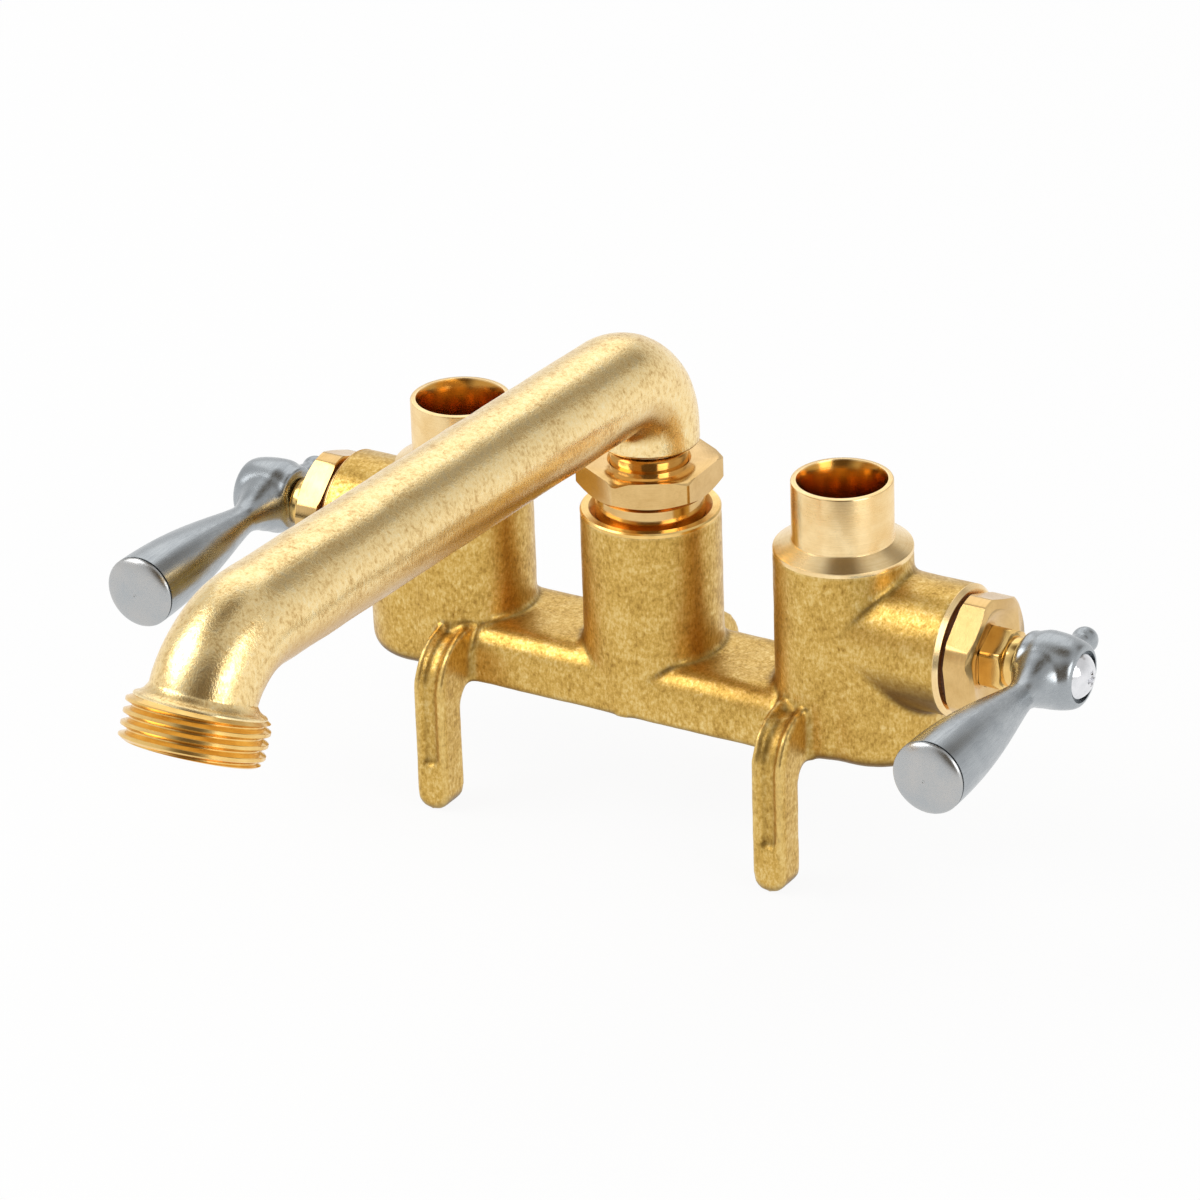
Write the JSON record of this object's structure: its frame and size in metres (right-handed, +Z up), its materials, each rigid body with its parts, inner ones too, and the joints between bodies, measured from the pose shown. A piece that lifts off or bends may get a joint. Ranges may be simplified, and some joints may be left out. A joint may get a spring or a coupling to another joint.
{
  "type": "utility sink faucet",
  "caption": "Clamp-on brass laundry tub faucet with solder-cup inlets, lever handles and a swinging spout with a hose thread, for a tub's rim.",
  "frame": {"origin": "middle of the flat underside that rests on the tub's rim, below the spout column's axis", "axes": "+Z up, -Y towards the user and the tub, +X to the user's right, where the cold valve is"},
  "size_m": [0.193, 0.1984, 0.1052],
  "materials": {
    "cast_brass": "rough sand casting",
    "spout_brass": "fine tumbled casting, pale",
    "turned_brass": "machined, lightly dulled",
    "satin_zinc": "satin plated die-cast zinc",
    "bright_chrome": "bright plating",
    "black_rubber": "matte",
    "red_fibre": "vulcanised fibre"
  },
  "bodies": {
    "casting": {"faucet_body": "cast_brass", "spout_nut": "turned_brass", "hot_seat": "turned_brass", "hot_bonnet": "turned_brass", "hot_bonnet_gasket": "red_fibre", "hot_packing": "black_rubber", "hot_packing_nut": "turned_brass", "cold_seat": "turned_brass", "cold_bonnet": "turned_brass", "cold_bonnet_gasket": "red_fibre", "cold_packing": "black_rubber", "cold_packing_nut": "turned_brass"},
    "swing_spout": {"spout": "spout_brass", "spout_o_ring": "black_rubber", "spout_retaining_ring": "turned_brass", "spout_slip_washer": "red_fibre"},
    "hot_slider": {"hot_seat_washer": "black_rubber"},
    "hot_handle": {"hot_stem": "turned_brass", "hot_washer_screw": "turned_brass", "hot_lever": "satin_zinc", "hot_handle_screw": "bright_chrome"},
    "cold_slider": {"cold_seat_washer": "black_rubber"},
    "cold_handle": {"cold_stem": "turned_brass", "cold_washer_screw": "turned_brass", "cold_lever": "satin_zinc", "cold_handle_screw": "bright_chrome"},
    "clamp_pad": {"clamp_tip": "turned_brass"},
    "clamp_bolt": {"clamp_screw": "turned_brass"}
  },
  "joints": [
    {"name": "spout_swing", "type": "hinge", "parent": "casting", "child": "swing_spout", "pos_m": [0, 0, 0.03], "axis": [0, 0, 1], "range_deg": [-60.4, 67.6]},
    {"name": "hot_lift", "type": "slide", "parent": "casting", "child": "hot_slider", "axis": [-1, 0, 0], "range_m": [0, 0.00191]},
    {"name": "hot_turn", "type": "hinge", "parent": "hot_slider", "child": "hot_handle", "pos_m": [-0.0856, 0, 0.0242], "axis": [-1, 0, 0], "range_deg": [0, 135]},
    {"name": "cold_lift", "type": "slide", "parent": "casting", "child": "cold_slider", "axis": [1, 0, 0], "range_m": [0, 0.00191]},
    {"name": "cold_turn", "type": "hinge", "parent": "cold_slider", "child": "cold_handle", "pos_m": [0.0856, 0, 0.0242], "axis": [-1, 0, 0], "range_deg": [0, 135]},
    {"name": "clamp_feed", "type": "slide", "parent": "casting", "child": "clamp_pad", "axis": [0, -1, 0], "range_m": [0, 0.00635]},
    {"name": "clamp_turn", "type": "hinge", "parent": "clamp_pad", "child": "clamp_bolt", "pos_m": [0, 0.03, -0.0096], "axis": [0, -1, 0], "range_deg": [0, 1803]}
  ],
  "couplings": [
    {"joint": "hot_lift", "follows": "hot_turn", "m_per_rad": 0.00080851},
    {"joint": "cold_lift", "follows": "cold_turn", "m_per_rad": 0.00080851},
    {"joint": "clamp_turn", "follows": "clamp_feed", "rad_per_m": 4947.4}
  ]
}
